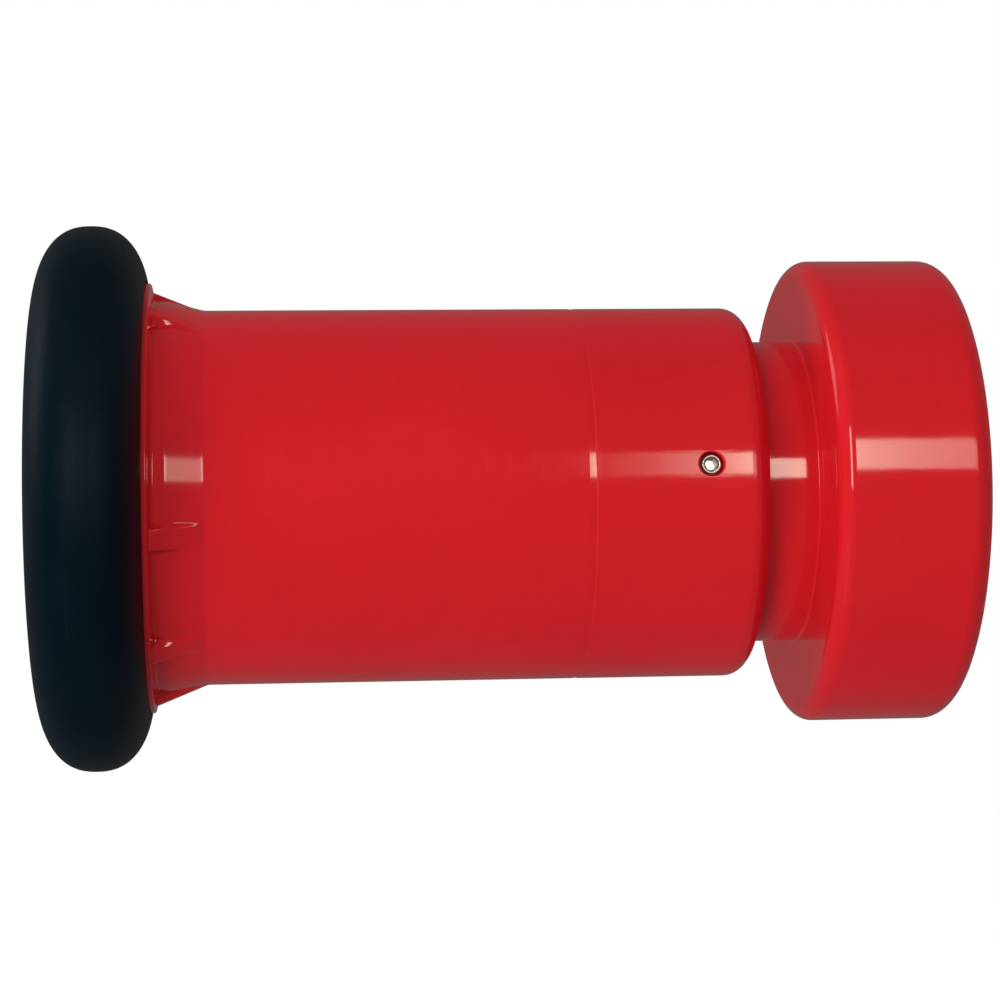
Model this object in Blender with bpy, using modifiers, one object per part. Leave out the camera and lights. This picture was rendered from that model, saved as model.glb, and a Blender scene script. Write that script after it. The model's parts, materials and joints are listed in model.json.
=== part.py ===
"""Twist-pattern fog nozzle for a 38 mm (1-1/2 in) fire hose.

The nozzle is drawn standing on its inlet face: heights run along its axis, from that face towards the
outlet. The whole assembly then lies on its side, so that the hose joins it from +X and water leaves along -X.

The base is fixed to the hose. It holds the cross-vaned spider, and the spider's bolt holds the baffle in
front of the barrel's throat. The barrel turns on the base, and three cam screws that ride in helical grooves
carry it along the axis. It is drawn fully back, in wide fog. Three quarters of a turn brings its seat
forward to the baffle's seal, which shuts the nozzle.
"""

import math

import bmesh
import bpy

MM = 0.001
STEPS = 40  # flats round a turned part
SMALL_STEPS = 20  # flats round a fastener
TINY_STEPS = 16  # flats round a cam screw
THREAD_STEPS = 28  # flats in one turn of the hose thread
SWEEP_STEPS = 32  # flats along a cam groove or the snap ring
GAP = 0.3 * MM  # left between pieces that rest on each other

# Coupling: a rigid female end for the 1-1/2 in hose thread, nine turns to the inch
COUPLING_R = 33.3 * MM
SHOULDER_Z = 21.5 * MM  # the face towards the barrel
COUPLING_REAR_FILLET = 3.2 * MM
COUPLING_FRONT_FILLET = 2.4 * MM
THREAD_PITCH = 25.4 / 9 * MM
THREAD_ROOT_R = 25.4 * MM
THREAD_CREST_R = 23.85 * MM
GASKET_THICKNESS = 4.3 * MM
GASKET_BORE_R = 20.0 * MM
GASKET_FLOOR_Z = 19.8 * MM
GASKET_RECESS_R = 26.6 * MM
GASKET_RECESS_Z = GASKET_FLOOR_Z - GASKET_THICKNESS - 2 * GAP

# Tube: what the barrel turns and slides on
TUBE_R = 21.7 * MM
BORE_R = 19.05 * MM
FRONT_BORE_R = 17.6 * MM
NECK_FILLET = 0.3 * MM

# Barrel, at its rear stop
BARREL_R = 26.6 * MM
BARREL_BORE_R = TUBE_R + GAP
BARREL_REAR_Z = 29.0 * MM
BARREL_REAR_FILLET = 3.0 * MM
GRIP_Z = 53.3 * MM  # a fine groove round the grip, steep on its rear side
GRIP_DEPTH = 0.15 * MM
FLARE_Z = 105.8 * MM
FLARE_END_Z = 113.7 * MM
FLARE_R = 30.5 * MM
FLANGE_R = 33.4 * MM
FLANGE_BACK_Z = 118.0 * MM
FLANGE_FRONT_Z = 122.6 * MM
NOSE_R = 28.4 * MM
NOSE_Z = 126.8 * MM
MOUTH_R = 27.0 * MM
SEAT_Z = 102.0 * MM
SEAT_R = 19.9 * MM
THROAT_R = 16.8 * MM
VALLEY_R = 27.9 * MM  # the land between the ribs
RIB_PITCH = math.radians(36)
RIBS = 9  # the tenth place, at the top of the near side, is bare
RIB_THICKNESS = 3.0 * MM
FIRST_RIB = math.radians(-29)
RIB_END_R = 29.8 * MM  # a little below the edge of the flange behind the bumper

# Cam: the barrel's screws in the tube's grooves
LEAD = 20.0 * MM  # forward travel in one turn
CAM_TURN = math.radians(270)
TRAVEL = LEAD * CAM_TURN / math.tau
CAM_SCREWS = 3
FIRST_CAM = math.radians(-82)
CAM_Z = 37.5 * MM
CAM_DEPTH = 1.3 * MM
CAM_SCREW_R = 1.5 * MM
CAM_SCREW_TOP_R = BARREL_R - 0.5 * MM
DOG_R = 1.1 * MM
CAM_GROOVE_WIDTH = 2 * (DOG_R + GAP)

# Bumper
BUMPER_R = 38.6 * MM
BUMPER_Z = 121.4 * MM  # the middle of its width
BUMPER_HALF_WIDTH = 8.0 * MM
BUMPER_CROWN = 12.5 * MM  # how far its round outside would come in at its full width
BUMPER_SQUARENESS = 2.4  # 2 is an ellipse
BUMPER_LIP_R = 28.0 * MM  # where its front ends, over the barrel's nose

# Spider, baffle and their bolt
SPIDER_STOP_Z = 86.0 * MM
SPIDER_RING_LENGTH = 9.7 * MM
SPIDER_RING_R = 16.6 * MM
VANE_THICKNESS = 2.0 * MM
VANE_INSET = 0.5 * MM  # how far a vane stops short of the ring's ends
HUB_R = 6.5 * MM
HUB_REAR_Z = 72.0 * MM
HUB_FRONT_Z = 88.0 * MM
STEM_R = 6.0 * MM
STEM_RIM_R = 15.9 * MM  # just inside the throat
SEAL_THICKNESS = 1.2 * MM
SEAL_Z = SEAT_Z + TRAVEL + 0.4 * MM
SEAL_PILOT_R = 9.0 * MM  # the boss on the baffle head that centres the seal
BAFFLE_R = 19.6 * MM
BAFFLE_FRONT_Z = 123.8 * MM
DISH_DEPTH = 1.3 * MM
BOLT_R = 3.0 * MM
BOLT_HEAD_R = 5.2 * MM
BOLT_HEAD_HEIGHT = 3.4 * MM
BOLT_RECESS_R = BOLT_HEAD_R + 0.8 * MM
BOLT_SEAT_Z = BAFFLE_FRONT_Z - 4.4 * MM
WASHER_THICKNESS = 1.0 * MM
NUT_FLAT = 5.0 * MM  # half the width across its flats
NUT_HEIGHT = 5.0 * MM
NUT_COLLAR = 2.0 * MM
NUT_COLLAR_R = 4.7 * MM
NUT_RING_R = 3.9 * MM
NUT_RING_THICKNESS = 1.1 * MM

# O-rings
O_RING_R = 1.05 * MM  # half the cord's thickness
O_RING_GROOVE_WIDTH = 2.8 * MM
TUBE_END_Z = SEAT_Z - 5.0 * MM
BODY_O_RINGS_Z = (TUBE_END_Z - 3.4 * MM, TUBE_END_Z - 8.0 * MM)
BODY_O_RING_CENTRE_R = TUBE_R - O_RING_R + 0.1 * MM
FRICTION_RING_Z = 60.5 * MM
FRICTION_RING_R = 0.8 * MM
FRICTION_RING_CENTRE_R = TUBE_R + 0.25 * MM + FRICTION_RING_R

SMALL = 1e-5  # merges the ends of a turn without touching nearby points


# ---------------------------------------------------------------- scene and materials


def clear_scene():
    for obj in list(bpy.data.objects):
        bpy.data.objects.remove(obj)


def new_collection(name):
    made = bpy.data.collections.new(name)
    bpy.context.scene.collection.children.link(made)
    return made


def new_material(name, colour, roughness, metallic=0.0):
    made = bpy.data.materials.new(name)
    made.use_nodes = True
    shader = made.node_tree.nodes["Principled BSDF"]
    shader.inputs["Base Color"].default_value = (*colour, 1.0)
    shader.inputs["Roughness"].default_value = roughness
    shader.inputs["Metallic"].default_value = metallic
    return made


def new_axis(name, parent=None):
    """An empty on the nozzle's axis. Its height runs along the axis."""
    empty = bpy.data.objects.new(name, None)
    parts.objects.link(empty)
    empty.parent = parent
    return empty


def new_object(name, mesh, collection, parent):
    made = bpy.data.objects.new(name, mesh)
    collection.objects.link(made)
    made.parent = parent
    return made


def as_cutter(obj):
    parts.objects.unlink(obj)
    cutters.objects.link(obj)
    obj.hide_render = True
    obj.display_type = "WIRE"
    return obj


# ---------------------------------------------------------------- shapes


def arc(centre, radius, start, end, count):
    """Points (radius, height) on an arc from start to end degrees, where 90 degrees is towards the outlet."""
    angles = [math.radians(start + (end - start) * i / count) for i in range(count + 1)]
    return [(centre[0] + radius * math.cos(a), centre[1] + radius * math.sin(a)) for a in angles]


def groove(radius, floor_radius, first, last):
    """The four corners of a square groove, from its first height to its last."""
    return [(radius, first), (floor_radius, first), (floor_radius, last), (radius, last)]


def band(inner, outer, high, low):
    """The four corners of a plain ring's section."""
    return [(inner, high), (outer, high), (outer, low), (inner, low)]


def outline(name, points, closed):
    """A profile in the XZ plane: radius along X, height along Z."""
    count = len(points)
    mesh = bpy.data.meshes.new(name)
    ends = count if closed else count - 1
    mesh.from_pydata([(r, 0, z) for r, z in points], [(i, (i + 1) % count) for i in range(ends)], [])
    return mesh


def add_screw(obj, angle, rise, steps):
    screw = obj.modifiers.new("Turn", "SCREW")
    screw.axis = "Z"
    screw.angle = angle
    screw.screw_offset = rise
    screw.steps = steps
    screw.render_steps = steps
    screw.use_merge_vertices = angle == math.tau
    screw.merge_threshold = SMALL
    screw.use_smooth_shade = True


def turned(name, points, material, parent, steps=STEPS, closed=True):
    """A turned piece. Its profile comes back from the front along the outside and returns along the bore."""
    mesh = outline(name, points, closed)
    mesh.materials.append(material)
    made = new_object(name, mesh, parts, parent)
    add_screw(made, math.tau, 0.0, steps)
    return made


def swept(name, section, material, parent, angle, rise, steps, start=0.0):
    """A section carried part of a turn, or along a helix, with its two ends closed."""
    guide = new_object(name + "_guide", outline(name, section, True), parts, None)
    add_screw(guide, angle, rise, steps)
    bpy.context.view_layer.update()
    graph = bpy.context.evaluated_depsgraph_get()
    mesh = bpy.data.meshes.new_from_object(guide.evaluated_get(graph))
    bpy.data.objects.remove(guide)
    shape = bmesh.new()
    shape.from_mesh(mesh)
    bmesh.ops.remove_doubles(shape, verts=shape.verts, dist=SMALL)
    bmesh.ops.holes_fill(shape, edges=[e for e in shape.edges if e.is_boundary])
    bmesh.ops.recalc_face_normals(shape, faces=shape.faces)
    shape.to_mesh(mesh)
    shape.free()
    mesh.materials.append(material)
    made = new_object(name, mesh, parts, parent)
    made.rotation_euler = (0, 0, start)
    return made


def prism(name, radius, low, high, material, parent, sides):
    """A straight prism or cylinder that stands on height low."""
    shape = bmesh.new()
    depth = high - low
    bmesh.ops.create_cone(shape, cap_ends=True, segments=sides, radius1=radius, radius2=radius, depth=depth)
    bmesh.ops.translate(shape, verts=shape.verts, vec=(0, 0, (high + low) / 2))
    mesh = bpy.data.meshes.new(name)
    shape.to_mesh(mesh)
    shape.free()
    mesh.materials.append(material)
    return new_object(name, mesh, parts, parent)


def plate(name, outline_points, thickness, material, parent):
    """A flat plate in the XZ plane, from its (radius, height) corners."""
    shape = bmesh.new()
    face = shape.faces.new([shape.verts.new((r, -thickness / 2, z)) for r, z in outline_points])
    extruded = bmesh.ops.extrude_face_region(shape, geom=[face])
    moved = [v for v in extruded["geom"] if isinstance(v, bmesh.types.BMVert)]
    bmesh.ops.translate(shape, verts=moved, vec=(0, thickness, 0))
    bmesh.ops.recalc_face_normals(shape, faces=shape.faces)
    mesh = bpy.data.meshes.new(name)
    shape.to_mesh(mesh)
    shape.free()
    mesh.materials.append(material)
    return new_object(name, mesh, parts, parent)


def boolean(obj, other, operation):
    """Cuts other from obj, or joins it, and hides other as a cutter."""
    modifier = obj.modifiers.new(other.name, "BOOLEAN")
    modifier.operation = operation
    modifier.object = as_cutter(other)


def o_ring(name, radius, height, cord_r, parent):
    """An O-ring of cord radius cord_r, whose cord runs at that radius and height."""
    return turned(name, arc((radius, height), cord_r, 90, -225, 7), rubber, parent)


def washer(name, low, parent):
    section = band(BOLT_R + GAP, BOLT_HEAD_R + 0.4 * MM, low + WASHER_THICKNESS, low)
    return turned(name, section, steel, parent, SMALL_STEPS)


# ---------------------------------------------------------------- base


def make_inlet_body(parent):
    """Coupling and tube in one moulding, with the hose thread, the cam grooves and small parts' seats."""
    front, rear = COUPLING_FRONT_FILLET, COUPLING_REAR_FILLET
    groove_r = TUBE_R - 2 * O_RING_R - 0.1 * MM
    half = O_RING_GROOVE_WIDTH / 2
    chamfer = 0.8 * MM
    outside = [(FRONT_BORE_R, TUBE_END_Z), (TUBE_R - chamfer, TUBE_END_Z), (TUBE_R, TUBE_END_Z - chamfer)]
    for height in BODY_O_RINGS_Z:
        outside += groove(TUBE_R, groove_r, height + half, height - half)
    outside += [(TUBE_R, SHOULDER_Z + NECK_FILLET), (TUBE_R + NECK_FILLET, SHOULDER_Z)]
    outside += arc((COUPLING_R - front, SHOULDER_Z - front), front, 90, 0, 3)
    outside += arc((COUPLING_R - rear, rear), rear, 0, -90, 3)
    lead_in = 2.2 * MM
    recess, floor = GASKET_RECESS_Z, GASKET_FLOOR_Z
    socket = [(THREAD_CREST_R + lead_in, 0), (THREAD_CREST_R, lead_in), (THREAD_CREST_R, recess)]
    socket += [(GASKET_RECESS_R, recess), (GASKET_RECESS_R, floor), (BORE_R, floor)]
    ring_z = snap_ring_z()
    bore = groove(BORE_R, BORE_R + 1.2 * MM, ring_z - GAP, ring_z + WASHER_THICKNESS + GAP)
    bore += [(BORE_R, SPIDER_STOP_Z), (FRONT_BORE_R, SPIDER_STOP_Z)]
    body = turned("inlet_body", outside + socket + bore, red, parent)
    boolean(body, make_thread_cutter(parent), "DIFFERENCE")
    for index in range(CAM_SCREWS):
        boolean(body, make_cam_groove(parent, index), "DIFFERENCE")
    return body


def make_thread_cutter(parent):
    """The helical V that leaves the hose thread in the coupling's bore."""
    start = -2 * THREAD_PITCH
    length = GASKET_RECESS_Z + THREAD_PITCH - start
    inner_r = THREAD_CREST_R - 0.5 * MM
    half_inner, half_root = 0.47 * THREAD_PITCH, 0.1 * THREAD_PITCH
    section = [
        (inner_r, start - half_inner),
        (inner_r, start + half_inner),
        (THREAD_ROOT_R, start + half_root),
        (THREAD_ROOT_R, start - half_root),
    ]
    turns = length / THREAD_PITCH
    steps = round(turns * THREAD_STEPS)
    return swept("thread_cutter", section, red, parent, turns * math.tau, length, steps)


def make_cam_groove(parent, index):
    """One helical groove. It is a little longer than the cam screw's travel at both ends."""
    spare = CAM_GROOVE_WIDTH / 2 / TUBE_R
    half = CAM_GROOVE_WIDTH / 2 / math.cos(math.atan(LEAD / math.tau / TUBE_R))
    angle = CAM_TURN + 2 * spare
    start_z = CAM_Z - LEAD * spare / math.tau
    section = groove(TUBE_R + 1.0 * MM, TUBE_R - CAM_DEPTH, start_z - half, start_z + half)
    start = FIRST_CAM + index * math.tau / CAM_SCREWS - spare
    rise = LEAD * angle / math.tau
    return swept(f"cam_groove_{index + 1}", section, red, parent, angle, rise, SWEEP_STEPS, start)


def snap_ring_z():
    return SPIDER_STOP_Z - GAP - SPIDER_RING_LENGTH - GAP - WASHER_THICKNESS


def make_inlet_gasket(parent):
    """The hose washer, which the recess behind the thread holds in."""
    high = GASKET_FLOOR_Z - GAP
    section = band(GASKET_BORE_R, GASKET_RECESS_R - GAP, high, high - GASKET_THICKNESS)
    return turned("inlet_gasket", section, rubber, parent)


def make_spider(parent):
    """A ring and a hub joined by four vanes. Water pushes it forward against the tube's step."""
    high = SPIDER_STOP_Z - GAP
    low = high - SPIDER_RING_LENGTH
    outer = BORE_R - GAP
    spider = turned("stem_spider", band(SPIDER_RING_R, outer, high, low), red, parent)
    vane_r = (SPIDER_RING_R + outer) / 2
    vane = band(-vane_r, vane_r, high - VANE_INSET, low + VANE_INSET)
    for index in range(2):
        cross = plate(f"vane_pair_{index + 1}", vane, VANE_THICKNESS, red, parent)
        cross.rotation_euler = (0, 0, math.radians(45 + 90 * index))
        boolean(spider, cross, "UNION")
    hub = prism("spider_hub", HUB_R, HUB_REAR_Z, HUB_FRONT_Z, red, parent, SMALL_STEPS)
    boolean(spider, hub, "UNION")
    hole = prism("hub_hole", BOLT_R + GAP, HUB_REAR_Z - MM, HUB_FRONT_Z + MM, red, parent, SMALL_STEPS)
    boolean(spider, hole, "DIFFERENCE")
    return spider


def make_snap_ring(parent):
    """The open spring ring behind the spider."""
    low = snap_ring_z()
    section = band(BORE_R - 1.4 * MM, BORE_R + 0.9 * MM, low + WASHER_THICKNESS, low)
    start, turn = math.radians(-72), math.radians(325)
    return swept("spider_snap_ring", section, steel, parent, turn, 0.0, SWEEP_STEPS, start)


def make_baffle_stem(parent):
    """The rear half of the baffle: a stem on the spider's hub, and a cone that turns the water outwards."""
    bottom, top = HUB_FRONT_Z + GAP, SEAL_Z - GAP
    bolt_hole_r = BOLT_R + GAP
    points = [(bolt_hole_r, top), (STEM_RIM_R, top), (11.0 * MM, top - 3.7 * MM), (7.6 * MM, top - 7.9 * MM)]
    points += [(STEM_R, top - 12.8 * MM), (STEM_R, bottom), (bolt_hole_r, bottom)]
    return turned("baffle_stem", points, red, parent)


def make_baffle_head(parent):
    """The front half of the baffle: a dished disc whose boss centres the seal between the two halves."""
    land_z, dish_z = BAFFLE_FRONT_Z - 0.4 * MM, BAFFLE_FRONT_Z - DISH_DEPTH
    back = SEAL_Z + SEAL_THICKNESS + GAP
    bolt_hole_r = BOLT_R + GAP
    rim_fillet = 1.2 * MM
    points = [(BOLT_RECESS_R, land_z), (8.0 * MM, land_z), (9.2 * MM, dish_z), (14.4 * MM, dish_z)]
    points += [(16.4 * MM, BAFFLE_FRONT_Z)]
    points += arc((BAFFLE_R - rim_fillet, BAFFLE_FRONT_Z - rim_fillet), rim_fillet, 90, 0, 3)
    points += [(BAFFLE_R, back), (SEAL_PILOT_R, back), (SEAL_PILOT_R, SEAL_Z), (bolt_hole_r, SEAL_Z)]
    points += [(bolt_hole_r, BOLT_SEAT_Z), (BOLT_RECESS_R, BOLT_SEAT_Z)]
    return turned("baffle_head", points, red, parent)


def make_baffle_seal(parent):
    """The flat rubber ring held between the baffle's halves. The barrel's seat meets it at OFF."""
    section = band(SEAL_PILOT_R + GAP, BAFFLE_R - 0.4 * MM, SEAL_Z + SEAL_THICKNESS, SEAL_Z)
    return turned("baffle_seal", section, rubber, parent)


def make_bolt(parent):
    """A button-head bolt through the baffle and the spider's hub."""
    seat = BOLT_SEAT_Z + GAP + WASHER_THICKNESS + GAP
    top = seat + BOLT_HEAD_HEIGHT
    tip = nut_z() - NUT_COLLAR - 1.5 * MM
    points = [(0, top), (0.62 * BOLT_HEAD_R, top), (0.92 * BOLT_HEAD_R, seat + 0.6 * BOLT_HEAD_HEIGHT)]
    points += [(BOLT_HEAD_R, seat + 0.25 * BOLT_HEAD_HEIGHT), (BOLT_HEAD_R, seat), (BOLT_R, seat)]
    points += [(BOLT_R, tip + 0.8 * MM), (BOLT_R - 0.8 * MM, tip), (0, tip)]
    bolt = turned("baffle_bolt", points, steel, parent, SMALL_STEPS, closed=False)
    socket = prism("bolt_socket", 2.3 * MM, top - 1.8 * MM, top + MM, steel, parent, 6)
    boolean(bolt, socket, "DIFFERENCE")
    return bolt


def stem_washer_z():
    return HUB_REAR_Z - GAP - WASHER_THICKNESS


def nut_z():
    """Where the nut's hexagon ends, towards the hose."""
    return stem_washer_z() - GAP - NUT_HEIGHT


def make_lock_nut(parent):
    """A self-locking hexagon nut, with the round collar that holds its nylon ring to the rear."""
    low = nut_z()
    rear = low - NUT_COLLAR
    nut = prism("stem_lock_nut", NUT_FLAT / math.cos(math.pi / 6), low, low + NUT_HEIGHT, steel, parent, 6)
    collar = prism("nut_collar", NUT_COLLAR_R, rear, low + MM, steel, parent, SMALL_STEPS)
    boolean(nut, collar, "UNION")
    hole = prism("nut_hole", BOLT_R + GAP, rear - MM, low + NUT_HEIGHT + MM, steel, parent, SMALL_STEPS)
    boolean(nut, hole, "DIFFERENCE")
    ring = nut_ring_z()
    seat_r, front = NUT_RING_R + GAP, ring + NUT_RING_THICKNESS + GAP
    seat = prism("nut_ring_seat", seat_r, ring - GAP, front, steel, parent, SMALL_STEPS)
    boolean(nut, seat, "DIFFERENCE")
    return nut


def nut_ring_z():
    return nut_z() - NUT_RING_THICKNESS - 2 * GAP


def make_nut_ring(parent):
    """The nylon ring that grips the bolt's thread."""
    low = nut_ring_z()
    section = band(BOLT_R + GAP, NUT_RING_R, low + NUT_RING_THICKNESS, low)
    return turned("nut_nylon_ring", section, nylon, parent, SMALL_STEPS)


# ---------------------------------------------------------------- barrel


def make_barrel(parent):
    """The sleeve, its throat and seat, the bell in front of them, and the flange for the bumper."""
    saddle_r = FLARE_R - 0.1 * MM
    nose = [(MOUTH_R, NOSE_Z), (NOSE_R, NOSE_Z), (NOSE_R, FLANGE_FRONT_Z)]
    nose += [(FLANGE_R, FLANGE_FRONT_Z), (FLANGE_R, FLANGE_BACK_Z), (saddle_r, FLANGE_BACK_Z)]
    flare = [(saddle_r, FLARE_END_Z - 0.5 * MM), (VALLEY_R, FLARE_END_Z - 1.0 * MM)]
    flare += [(VALLEY_R, FLARE_END_Z - 2.8 * MM), (BARREL_R, FLARE_Z)]
    sleeve = [(BARREL_R, GRIP_Z + 0.8 * MM), (BARREL_R - GRIP_DEPTH, GRIP_Z - 0.1 * MM)]
    sleeve += [(BARREL_R, GRIP_Z - 0.3 * MM)]
    rear_fillet_centre = (BARREL_R - BARREL_REAR_FILLET, BARREL_REAR_Z + BARREL_REAR_FILLET)
    sleeve += arc(rear_fillet_centre, BARREL_REAR_FILLET, 0, -90, 3)
    sleeve += [(BARREL_BORE_R + 0.4 * MM, BARREL_REAR_Z), (BARREL_BORE_R, BARREL_REAR_Z + 0.5 * MM)]
    half = FRICTION_RING_R + GAP
    ring_floor = TUBE_R + 2 * half + 0.1 * MM
    bore = groove(BARREL_BORE_R, ring_floor, FRICTION_RING_Z - half, FRICTION_RING_Z + half)
    throat_z = SEAT_Z - 1.6 * MM
    bore += [(BARREL_BORE_R, throat_z - 2.7 * MM), (THROAT_R, throat_z), (THROAT_R, SEAT_Z)]
    bell = [(SEAT_R, SEAT_Z), (SEAT_R + 0.9 * MM, SEAT_Z + 1.2 * MM), (22.3 * MM, SEAT_Z + 12.5 * MM)]
    barrel = turned("barrel", nose + flare + sleeve + bore + bell, red, parent)
    for index in range(RIBS):
        boolean(barrel, make_rib(parent, index), "UNION")
    for index in range(CAM_SCREWS):
        radius, inner, outer = CAM_SCREW_R + GAP, BARREL_BORE_R - MM, BARREL_R + MM
        hole = prism(f"cam_hole_{index + 1}", radius, inner, outer, red, parent, TINY_STEPS)
        point_outwards(hole, index)
        boolean(barrel, hole, "DIFFERENCE")
    return barrel


def make_rib(parent, index):
    """A gusset between the sleeve and the bumper's flange."""
    root_r = BARREL_R - 1.5 * MM
    corners = [(root_r, FLARE_Z - 0.6 * MM), (BARREL_R + 0.05 * MM, FLARE_Z), (RIB_END_R, FLARE_END_Z)]
    corners += [(RIB_END_R, FLARE_END_Z + 1.0 * MM), (root_r, FLARE_END_Z + 1.0 * MM)]
    rib = plate(f"rib_{index + 1}", corners, RIB_THICKNESS, red, parent)
    rib.rotation_euler = (0, 0, FIRST_RIB + index * RIB_PITCH)
    return rib


def point_outwards(obj, index):
    """Turns a piece drawn along the axis so that it points out through the barrel's wall at one cam screw."""
    obj.location = (0, 0, CAM_Z)
    obj.rotation_euler = (0, math.pi / 2, FIRST_CAM + index * math.tau / CAM_SCREWS)


def make_cam_screw(parent, index):
    """A socket set screw whose dog point rides in a groove. Its heights are distances from the axis."""
    top, shoulder = CAM_SCREW_TOP_R, BARREL_BORE_R + 0.2 * MM
    tip = TUBE_R - CAM_DEPTH + GAP
    chamfer = 0.3 * MM
    points = [(0, top), (CAM_SCREW_R - chamfer, top), (CAM_SCREW_R, top - chamfer)]
    points += [(CAM_SCREW_R, shoulder), (DOG_R, shoulder), (DOG_R, tip), (0, tip)]
    screw = turned(f"cam_screw_{index + 1}", points, steel, parent, TINY_STEPS, closed=False)
    point_outwards(screw, index)
    socket = prism(f"cam_socket_{index + 1}", 0.87 * MM, top - 1.2 * MM, top + MM, steel, parent, 6)
    point_outwards(socket, index)
    boolean(screw, socket, "DIFFERENCE")
    return screw


def bumper_reach(radius):
    """The turn, from the bumper's crest, at which its round outside has come in to this radius."""
    return math.acos((1 - (BUMPER_R - radius) / BUMPER_CROWN) ** (BUMPER_SQUARENESS / 2))


def make_bumper(parent):
    """The soft tyre round the outlet. It is stretched over the barrel's flange."""
    rear_r = FLARE_R + 0.6 * MM
    front_turn, rear_turn = bumper_reach(BUMPER_LIP_R), -bumper_reach(rear_r)
    count = 12
    points = []
    for index in range(count + 1):
        turn = front_turn + (rear_turn - front_turn) * index / count
        across = math.cos(turn) ** (2 / BUMPER_SQUARENESS)
        along = math.copysign(abs(math.sin(turn)) ** (2 / BUMPER_SQUARENESS), turn)
        points.append((BUMPER_R - BUMPER_CROWN * (1 - across), BUMPER_Z + BUMPER_HALF_WIDTH * along))
    saddle_r, flange_r, nose_r = FLARE_R + GAP, FLANGE_R + GAP, NOSE_R + GAP
    back, front, nose_z = FLANGE_BACK_Z - GAP, FLANGE_FRONT_Z + GAP, NOSE_Z + GAP
    inside = [(saddle_r, points[-1][1] + 0.5 * MM), (saddle_r, back), (flange_r, back), (flange_r, front)]
    inside += [(nose_r, front), (nose_r, nose_z), (BUMPER_LIP_R, nose_z)]
    return turned("bumper", points + inside, tyre, parent)


# ---------------------------------------------------------------- assembly

clear_scene()
parts = new_collection("fire_hose_nozzle")
cutters = new_collection("cutters")

red = new_material("red_polycarbonate", (0.56, 0.014, 0.02), 0.22)
tyre = new_material("bumper_rubber", (0.008, 0.011, 0.014), 0.55)
rubber = new_material("seal_rubber", (0.012, 0.012, 0.013), 0.5)
steel = new_material("stainless_steel", (0.62, 0.61, 0.59), 0.28, 1.0)
nylon = new_material("white_nylon", (0.72, 0.71, 0.66), 0.45)

nozzle_axis = new_axis("nozzle_axis")
nozzle_axis.rotation_euler = (0, -math.pi / 2, 0)
ring_axis = new_axis("ring_axis", nozzle_axis)
barrel_axis = new_axis("barrel_axis", ring_axis)

make_inlet_body(nozzle_axis)
make_inlet_gasket(nozzle_axis)
make_spider(nozzle_axis)
make_snap_ring(nozzle_axis)
make_baffle_stem(nozzle_axis)
make_baffle_head(nozzle_axis)
make_baffle_seal(nozzle_axis)
make_bolt(nozzle_axis)
washer("baffle_washer", BOLT_SEAT_Z + GAP, nozzle_axis)
washer("stem_washer", stem_washer_z(), nozzle_axis)
make_lock_nut(nozzle_axis)
make_nut_ring(nozzle_axis)
for name, height in zip(("front_o_ring", "rear_o_ring"), BODY_O_RINGS_Z):
    o_ring(name, BODY_O_RING_CENTRE_R, height, O_RING_R, nozzle_axis)

o_ring("friction_ring", FRICTION_RING_CENTRE_R, FRICTION_RING_Z, FRICTION_RING_R, ring_axis)

make_barrel(barrel_axis)
make_bumper(barrel_axis)
for number in range(CAM_SCREWS):
    make_cam_screw(barrel_axis, number)
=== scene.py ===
"""The looks of a twist-pattern fire hose nozzle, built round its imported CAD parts.

Every piece is turned about the X axis. Inside this script a length is in millimetres, a height is a
distance along that axis from the inlet face towards the outlet, and an angle is measured from straight up.
So a point at a radius, height and angle lies at (-height, radius sin angle, radius cos angle).

An outline's corners are (radius, height, fillet). A node's own sizes are read from its CAD box, and the
numbers in a piece's function are its fillets, chamfers and the details that the CAD leaves out.
"""

import json
import math

import bmesh
import bpy
import numpy as np
from mathutils import Matrix, Quaternion, Vector


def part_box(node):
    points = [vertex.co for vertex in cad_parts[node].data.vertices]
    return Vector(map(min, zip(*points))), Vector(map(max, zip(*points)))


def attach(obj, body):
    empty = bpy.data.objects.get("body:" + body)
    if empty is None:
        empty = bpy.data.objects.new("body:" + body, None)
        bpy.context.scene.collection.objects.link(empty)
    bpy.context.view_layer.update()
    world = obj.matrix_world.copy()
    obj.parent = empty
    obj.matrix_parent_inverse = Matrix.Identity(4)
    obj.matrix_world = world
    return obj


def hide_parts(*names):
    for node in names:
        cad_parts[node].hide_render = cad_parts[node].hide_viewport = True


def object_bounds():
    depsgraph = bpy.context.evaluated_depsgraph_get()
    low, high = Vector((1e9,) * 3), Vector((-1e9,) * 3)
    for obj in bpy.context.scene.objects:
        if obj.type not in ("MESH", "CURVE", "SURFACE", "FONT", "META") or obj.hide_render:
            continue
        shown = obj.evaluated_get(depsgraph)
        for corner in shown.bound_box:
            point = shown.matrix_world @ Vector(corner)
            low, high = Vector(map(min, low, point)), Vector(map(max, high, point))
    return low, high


MM = 0.001
GAP = 0.3  # left between pieces that rest on each other

# Coupling and tube
REAR_FILLET = 3.2
FRONT_FILLET = 2.4
SHOULDER = 21.5  # height of the coupling's front face
THREAD_PITCH = 25.4 / 9
THREAD_ROOT_R = 25.4
THREAD_CREST_R = 23.85
LEAD_IN = 2.2
TUBE_R = 21.7
BORE_R = 19.05
FRONT_BORE_R = 17.6
O_RING_SEAT_R = TUBE_R - 2.2
O_RING_SEAT_HALF = 1.4
GASKET_BORE_R = 20.0
SNAP_SEAT_R = BORE_R + 1.2
SNAP_OUTER_R = BORE_R + 0.9
SNAP_INNER_R = BORE_R - 1.4

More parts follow.
